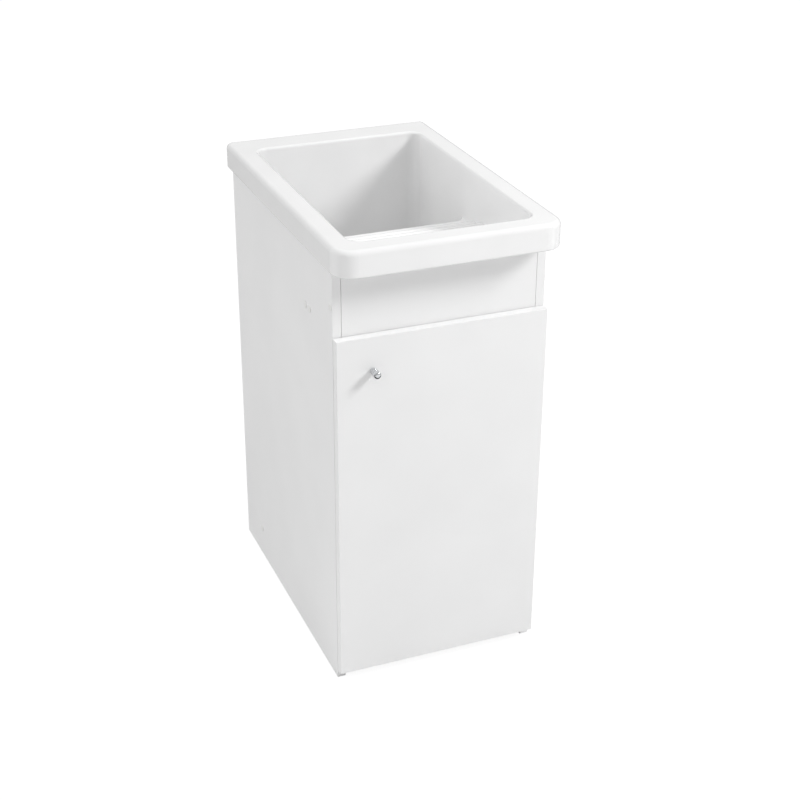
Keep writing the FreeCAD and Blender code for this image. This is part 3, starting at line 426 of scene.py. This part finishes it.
def round_end(thing, height, width, segments):
    """Rounds the edge of one end of an upright turned piece."""
    start_from(thing)
    bpy.ops.object.mode_set(mode="EDIT")
    bpy.ops.mesh.select_mode(type="EDGE")
    bpy.ops.mesh.select_all(action="DESELECT")
    bpy.ops.object.mode_set(mode="OBJECT")
    points = thing.data.vertices
    for edge in thing.data.edges:
        edge.select = all(abs(points[end].co.z - height) < ONE_POINT for end in edge.vertices)
    bpy.ops.object.mode_set(mode="EDIT")
    bpy.ops.mesh.bevel(offset=width, segments=segments, affect="EDGES")
    bpy.ops.object.mode_set(mode="OBJECT")


def cut_away(thing, cutter):
    """Cuts one object out of another and deletes the cutter."""
    cut = thing.modifiers.new("cut", "BOOLEAN")
    cut.operation = "DIFFERENCE"
    cut.solver = "EXACT"
    cut.object = cutter
    start_from(thing)
    bpy.ops.object.modifier_apply(modifier=cut.name)
    bpy.data.objects.remove(cutter)


def join_all(name, things):
    """Makes one object of several."""
    bpy.ops.object.select_all(action="DESELECT")
    for thing in things:
        thing.select_set(True)
    bpy.context.view_layer.objects.active = things[0]
    if len(things) > 1:
        bpy.ops.object.join()
    joined = bpy.context.object
    joined.name = name
    return joined


def solids_of(node):
    """The lowest and highest corner of each separate solid in a node."""
    spare = nodes[node].copy()
    spare.data = nodes[node].data.copy()
    spare.parent = None
    bpy.context.scene.collection.objects.link(spare)
    start_from(spare)
    bpy.ops.object.mode_set(mode="EDIT")
    bpy.ops.mesh.select_all(action="SELECT")
    bpy.ops.mesh.remove_doubles(threshold=ONE_POINT)
    bpy.ops.mesh.separate(type="LOOSE")
    bpy.ops.object.mode_set(mode="OBJECT")
    boxes = []
    for thing in list(bpy.context.selected_objects):
        places = [vertex.co for vertex in thing.data.vertices]
        low = Vector(min(place[axis] for place in places) for axis in range(3))
        high = Vector(max(place[axis] for place in places) for axis in range(3))
        boxes.append((low, high))
        bpy.data.objects.remove(thing)
    return boxes


def hand_over(piece, body, slot, material, *replaced):
    """Dresses a finished piece, lets it ride on its body and hides the solids it stands for."""
    dress(piece, material)
    start_from(piece)
    bpy.ops.object.shade_smooth_by_angle(angle=SMOOTH_EDGE)
    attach(piece, body)
    if replaced:
        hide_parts(*replaced)


# Cover caps

CAP_ROUNDING = 0.55
CAP_STEPS = 4


def make_cover_caps(side):
    """Pressed-in caps, each as round at its edge as its thickness allows."""
    turn = -math.pi / 2 if side == "left" else math.pi / 2
    caps = []
    for low, high in solids_of(f"cover_caps_{side}"):
        height = high.x - low.x
        radius = (high.y - low.y) / 2
        cap = add_cylinder("cap", radius, height, (0, 0, 0))
        round_edges(cap, height * CAP_ROUNDING, CAP_STEPS)
        cap.rotation_euler = (0, turn, 0)
        inner = high.x if side == "left" else low.x
        cap.location = (inner, (low.y + high.y) / 2, (low.z + high.z) / 2)
        settle(cap)
        caps.append(cap)
    piece = join_all(f"domed_cover_caps_{side}", caps)
    hand_over(piece, "carcass", "white_plastic", CAP_FINISH, f"cover_caps_{side}")


for side in ("left", "right"):
    make_cover_caps(side)


# Screws with a cross recess. Sizes are shares of the head's radius, and each rounding is a share of
# what it rounds

HEAD_HEIGHT = 0.5
HEAD_ROUNDING = 0.45
HEAD_STEPS = 4
RECESS_WIDTH = 0.28
RECESS_REACH = 1.25
SHANK_ROUNDING = 0.5
SHANK_STEPS = 2
SHANK_SIDES = 24
CUP_SHANK = 0.49
PLATE_SHANK = 0.57
ARM_SHANK = 0.59
KNOB_SHANK = 0.5

# The way that the heads face
INWARDS = (-1, 0, 0)
BACKWARDS = (0, 1, 0)


def make_screw(low, high, towards, shank_share):
    """One screw that fills its solid's box, with a cross recess in the head at one end."""
    axis = max(range(3), key=lambda place: abs(towards[place]))
    across = [place for place in range(3) if place != axis]
    head = (high[across[0]] - low[across[0]]) / 2
    length = high[axis] - low[axis]
    height = head * HEAD_HEIGHT
    dome = add_cylinder("head", head, height, (0, 0, -height))
    round_edges(dome, height * HEAD_ROUNDING, HEAD_STEPS)
    for turn in (0, math.pi / 2):
        bpy.ops.object.select_all(action="DESELECT")
        bpy.ops.mesh.primitive_cube_add(size=1, location=(0, 0, 0), rotation=(0, 0, turn))
        blade = bpy.context.object
        blade.scale = (head * RECESS_REACH, head * RECESS_WIDTH, height)
        settle(blade)
        cut_away(dome, blade)
    radius = head * shank_share
    shank = add_cylinder("shank", radius, length - height, (0, 0, -length), SHANK_SIDES)
    round_edges(shank, radius * SHANK_ROUNDING, SHANK_STEPS)
    screw = join_all("screw", [dome, shank])
    screw.rotation_mode = "QUATERNION"
    screw.rotation_quaternion = Vector(towards).to_track_quat("Z", "Y")
    top = (low + high) / 2
    top[axis] = high[axis] if towards[axis] > 0 else low[axis]
    screw.location = top
    settle(screw)
    return screw


def make_screws(name, body, node, towards, shank_share):
    """All the screws of one node, as one piece."""
    screws = [make_screw(low, high, towards, shank_share) for low, high in solids_of(node)]
    hand_over(join_all(name, screws), body, "zinc_steel", FINISHES["zinc_steel"], node)


for hinge in ("lower", "upper"):
    make_screws(
        f"{hinge}_cross_cup_screws", "door", f"{hinge}_cup_screws", BACKWARDS, CUP_SHANK
    )
    make_screws(
        f"{hinge}_cross_plate_screws", "carcass", f"{hinge}_plate_screws", INWARDS, PLATE_SHANK
    )
    make_screws(
        f"{hinge}_cross_arm_screw", "carcass", f"{hinge}_arm_screw", INWARDS, ARM_SHANK
    )
make_screws("cross_knob_screw", "door", "knob_screw", BACKWARDS, KNOB_SHANK)


# Knob. Roundings are shares of its radius, and places of its length from the front

KNOB_SIDES = 96
KNOB_TAPER = 0.18
FRONT_ROUNDING = 0.6
FRONT_STEPS = 8
BACK_ROUNDING = 0.1
BACK_STEPS = 3
GROOVE_PLACES = (0.4, 0.68)
GROOVE_RADIUS = 1.0 * MM
GROOVE_PROUD = 0.1 * MM
GROOVE_SIDES = 16


def make_knob():
    """A turned knob, wider towards its rounded front, with two fine grooves round it."""
    low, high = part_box("door_knob")
    length = high.y - low.y
    radius = (high.x - low.x) / 2
    bpy.ops.object.select_all(action="DESELECT")
    bpy.ops.mesh.primitive_cone_add(
        vertices=KNOB_SIDES, radius1=radius, radius2=radius * (1 - KNOB_TAPER), depth=length
    )
    knob = bpy.context.object
    round_end(knob, -length / 2, radius * FRONT_ROUNDING, FRONT_STEPS)
    round_end(knob, length / 2, radius * BACK_ROUNDING, BACK_STEPS)
    for place in GROOVE_PLACES:
        bpy.ops.object.select_all(action="DESELECT")
        bpy.ops.mesh.primitive_torus_add(
            major_radius=radius * (1 - KNOB_TAPER * place) + GROOVE_PROUD,
            minor_radius=GROOVE_RADIUS,
            major_segments=KNOB_SIDES,
            minor_segments=GROOVE_SIDES,
            location=(0, 0, (place - 0.5) * length),
        )
        cut_away(knob, bpy.context.object)
    knob.rotation_euler = (-math.pi / 2, 0, 0)
    knob.location = (low + high) / 2
    settle(knob)
    knob.name = "grooved_knob"
    hand_over(knob, "door", "chrome", FINISHES["chrome"], "door_knob")


make_knob()


# Grip ribs on the trap's cup

GRIP_RIBS = 12
GRIP_HEIGHT_SHARE = 0.42
GRIP_BELOW_TOP = 6 * MM
RIB_RADIUS = 2.2 * MM
RIB_ROUNDING = 1.4 * MM
RIB_STEPS = 4
RIB_SIDES = 20


def make_trap_grip():
    """Rounded upright ribs round the upper part of the trap's cup, to turn it by hand."""
    low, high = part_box("trap_cup")
    centre = (low + high) / 2
    radius = (high.x - low.x) / 2
    height = (high.z - low.z) * GRIP_HEIGHT_SHARE
    ribs = []
    for number in range(GRIP_RIBS):
        turn = number * math.tau / GRIP_RIBS
        base = (
            centre.x + radius * math.cos(turn),
            centre.y + radius * math.sin(turn),
            high.z - height - GRIP_BELOW_TOP,
        )
        rib = add_cylinder("rib", RIB_RADIUS, height, base, RIB_SIDES)
        round_edges(rib, RIB_ROUNDING, RIB_STEPS)
        ribs.append(rib)
    piece = join_all("trap_cup_grip", ribs)
    hand_over(piece, "carcass", "white_plastic", FINISHES["white_plastic"])


make_trap_grip()


# Floor, backdrop and light

FLOOR_SIZE = 40
FLOOR_GLOW = 0.93

# What mirrors see of the floor: metres in front of the cabinet's middle, and the tone there. The
# dark strip gives chrome its outline
MIRRORED_DEPTH = 1.6
MIRRORED_FLOOR = ((1.15, "#E2E2E2"), (0.99, "#0A0A0A"), (0.34, "#0A0A0A"), (0.2, "#AAAAAA"))

# What mirrors see of the walls: how bright they are at the sides and at the top, and between which
# heights that changes, given as the upward part of a direction of length one
MIRRORED_LOW = 0.1
MIRRORED_HIGH = 0.28
MIRRORED_SIDE = 0.2
MIRRORED_TOP = 0.6

# The direction and strength of each wide soft light, and the power by which they fade sideways
SOFT_LIGHTS = (
    ((0, 0, 1), 0.75),
    ((-1, 0, 0.35), 0.98),
    ((0, 1, 0.35), 0.5),
    ((0, -1, 0.35), 0.2),
)
SOFT_FADING = 2.0

# The key light in metres and watts, aimed at a share of the cabinet's height
KEY_DIRECTION = (46, -34, 42)
KEY_DISTANCE = 5.0
KEY_SIZE = 1.5
KEY_POWER = 139.0
KEY_AIM_SHARE = 0.6


def floor_material():
    """A pale matt floor that the camera sees as nearly white, with a soft shadow on it.

    Mirrors see it dark just in front of the cabinet, bright further off and grey at the sides.
    """
    material, tree, place = new_material("pale studio floor")
    path = add_node(tree, "ShaderNodeLightPath")
    seen = add_node(
        tree,
        "ShaderNodeMath",
        {0: path.outputs["Is Camera Ray"], 1: path.outputs["Is Transmission Ray"]},
        operation="MAXIMUM",
    )
    depth = add_node(tree, "ShaderNodeSeparateXYZ", {"Vector": place})
    nearness = add_node(
        tree,
        "ShaderNodeMapRange",
        {"Value": depth.outputs["Y"], "From Min": -MIRRORED_DEPTH, "From Max": 0},
    )
    ramp = add_node(tree, "ShaderNodeValToRGB", {"Fac": nearness.outputs["Result"]})
    stops = ramp.color_ramp.elements
    while len(stops) < len(MIRRORED_FLOOR):
        stops.new(1)
    for stop, (distance, tone) in zip(stops, MIRRORED_FLOOR):
        stop.position = 1 - distance / MIRRORED_DEPTH
        stop.color = linear(tone)
    mirrored = add_node(tree, "ShaderNodeBsdfDiffuse", {"Color": ramp.outputs["Color"]})
    white = add_node(tree, "ShaderNodeBsdfDiffuse", {"Color": linear("#E8E8E8")})
    matt = add_node(
        tree,
        "ShaderNodeMixShader",
        {"Fac": path.outputs["Is Glossy Ray"], 1: white.outputs[0], 2: mirrored.outputs[0]},
    )
    faint = add_node(tree, "ShaderNodeBsdfDiffuse", {"Color": linear("#606060")})
    glow = add_node(
        tree, "ShaderNodeEmission", {"Color": linear("#FFFFFF"), "Strength": FLOOR_GLOW}
    )
    pale = add_node(tree, "ShaderNodeAddShader", {0: faint.outputs[0], 1: glow.outputs[0]})
    mix = add_node(
        tree,
        "ShaderNodeMixShader",
        {"Fac": seen.outputs[0], 1: matt.outputs[0], 2: pale.outputs[0]},
    )
    add_node(tree, "ShaderNodeOutputMaterial", {"Surface": mix.outputs[0]})
    return material


def make_floor():
    """One wide floor that the side panels stand on."""
    bpy.ops.object.select_all(action="DESELECT")
    bpy.ops.mesh.primitive_plane_add(size=FLOOR_SIZE, location=(0, 0, 0))
    floor = bpy.context.object
    floor.name = "studio_floor"
    dress(floor, floor_material())


def soft_light(tree, towards, direction, strength):
    """One wide soft light, brightest in its direction and fading out at a right angle to it."""
    middle = Vector(direction).normalized()
    facing = add_node(
        tree, "ShaderNodeVectorMath", {0: towards, 1: middle}, operation="DOT_PRODUCT"
    )
    ahead = add_node(
        tree, "ShaderNodeMath", {0: facing.outputs["Value"], 1: 0.0}, operation="MAXIMUM"
    )
    narrow = add_node(
        tree, "ShaderNodeMath", {0: ahead.outputs[0], 1: SOFT_FADING}, operation="POWER"
    )
    lit = add_node(
        tree, "ShaderNodeMath", {0: narrow.outputs[0], 1: strength}, operation="MULTIPLY"
    )
    return lit.outputs[0]


def make_world():
    """A white studio, lit softly from a few sides. Mirrors see its lower walls dark."""
    world = bpy.data.worlds.new("white studio")
    bpy.context.scene.world = world
    world.use_nodes = True
    tree = world.node_tree
    tree.nodes.clear()
    towards = add_node(tree, "ShaderNodeTexCoord").outputs["Generated"]
    lit = 0.0
    for direction, strength in SOFT_LIGHTS:
        added = {0: soft_light(tree, towards, direction, strength), 1: lit}
        lit = add_node(tree, "ShaderNodeMath", added, operation="ADD").outputs[0]
    upwards = add_node(tree, "ShaderNodeSeparateXYZ", {"Vector": towards})
    mirrored = add_node(
        tree,
        "ShaderNodeMapRange",
        {
            "Value": upwards.outputs["Z"],
            "From Min": MIRRORED_LOW,
            "From Max": MIRRORED_HIGH,
            "To Min": MIRRORED_SIDE,
            "To Max": MIRRORED_TOP,
        },
    )
    path = add_node(tree, "ShaderNodeLightPath")
    soft, glossy, white = (
        add_node(tree, "ShaderNodeBackground", {"Color": linear("#FFFFFF"), "Strength": strength})
        for strength in (lit, mirrored.outputs["Result"], 1.0)
    )
    shone = add_node(
        tree,
        "ShaderNodeMixShader",
        {"Fac": path.outputs["Is Glossy Ray"], 1: soft.outputs[0], 2: glossy.outputs[0]},
    )
    mix = add_node(
        tree,
        "ShaderNodeMixShader",
        {"Fac": path.outputs["Is Camera Ray"], 1: shone.outputs[0], 2: white.outputs[0]},
    )
    add_node(tree, "ShaderNodeOutputWorld", {"Surface": mix.outputs[0]})


def make_key_light():
    """A soft box to the right of the front, well above the rim."""
    data = bpy.data.lights.new("key", "AREA")
    data.shape = "DISK"
    data.size = KEY_SIZE
    data.energy = KEY_POWER
    lamp = bpy.data.objects.new("key", data)
    aim = Vector((0, 0, cad_high.z * KEY_AIM_SHARE))
    lamp.location = aim + Vector(KEY_DIRECTION).normalized() * KEY_DISTANCE
    lamp.rotation_mode = "QUATERNION"
    lamp.rotation_quaternion = Vector(KEY_DIRECTION).to_track_quat("Z", "Y")
    bpy.context.scene.collection.objects.link(lamp)


make_floor()
make_world()
make_key_light()


# Camera

# In metres, degrees and, for the lens, millimetres
CAMERA_PLACE = Vector((-0.928, -2.358, 1.677))
CAMERA_AZIMUTH = -22.11
CAMERA_ELEVATION = 26.76
CAMERA_ROLL = 0.33
CAMERA_LENS = 69.98


def make_camera():
    """The photograph's viewing angle. At azimuth zero the camera looks straight at the wall."""
    data = bpy.data.cameras.new("camera")
    data.lens = CAMERA_LENS
    camera = bpy.data.objects.new("camera", data)
    turn = Matrix.Rotation(math.radians(CAMERA_AZIMUTH), 4, "Z")
    tilt = Matrix.Rotation(math.radians(90 - CAMERA_ELEVATION), 4, "X")
    roll = Matrix.Rotation(math.radians(CAMERA_ROLL), 4, "Z")
    camera.matrix_world = Matrix.Translation(CAMERA_PLACE) @ turn @ tilt @ roll
    bpy.context.scene.collection.objects.link(camera)
    bpy.context.scene.camera = camera


make_camera()
bpy.context.scene.view_settings.view_transform = "Standard"
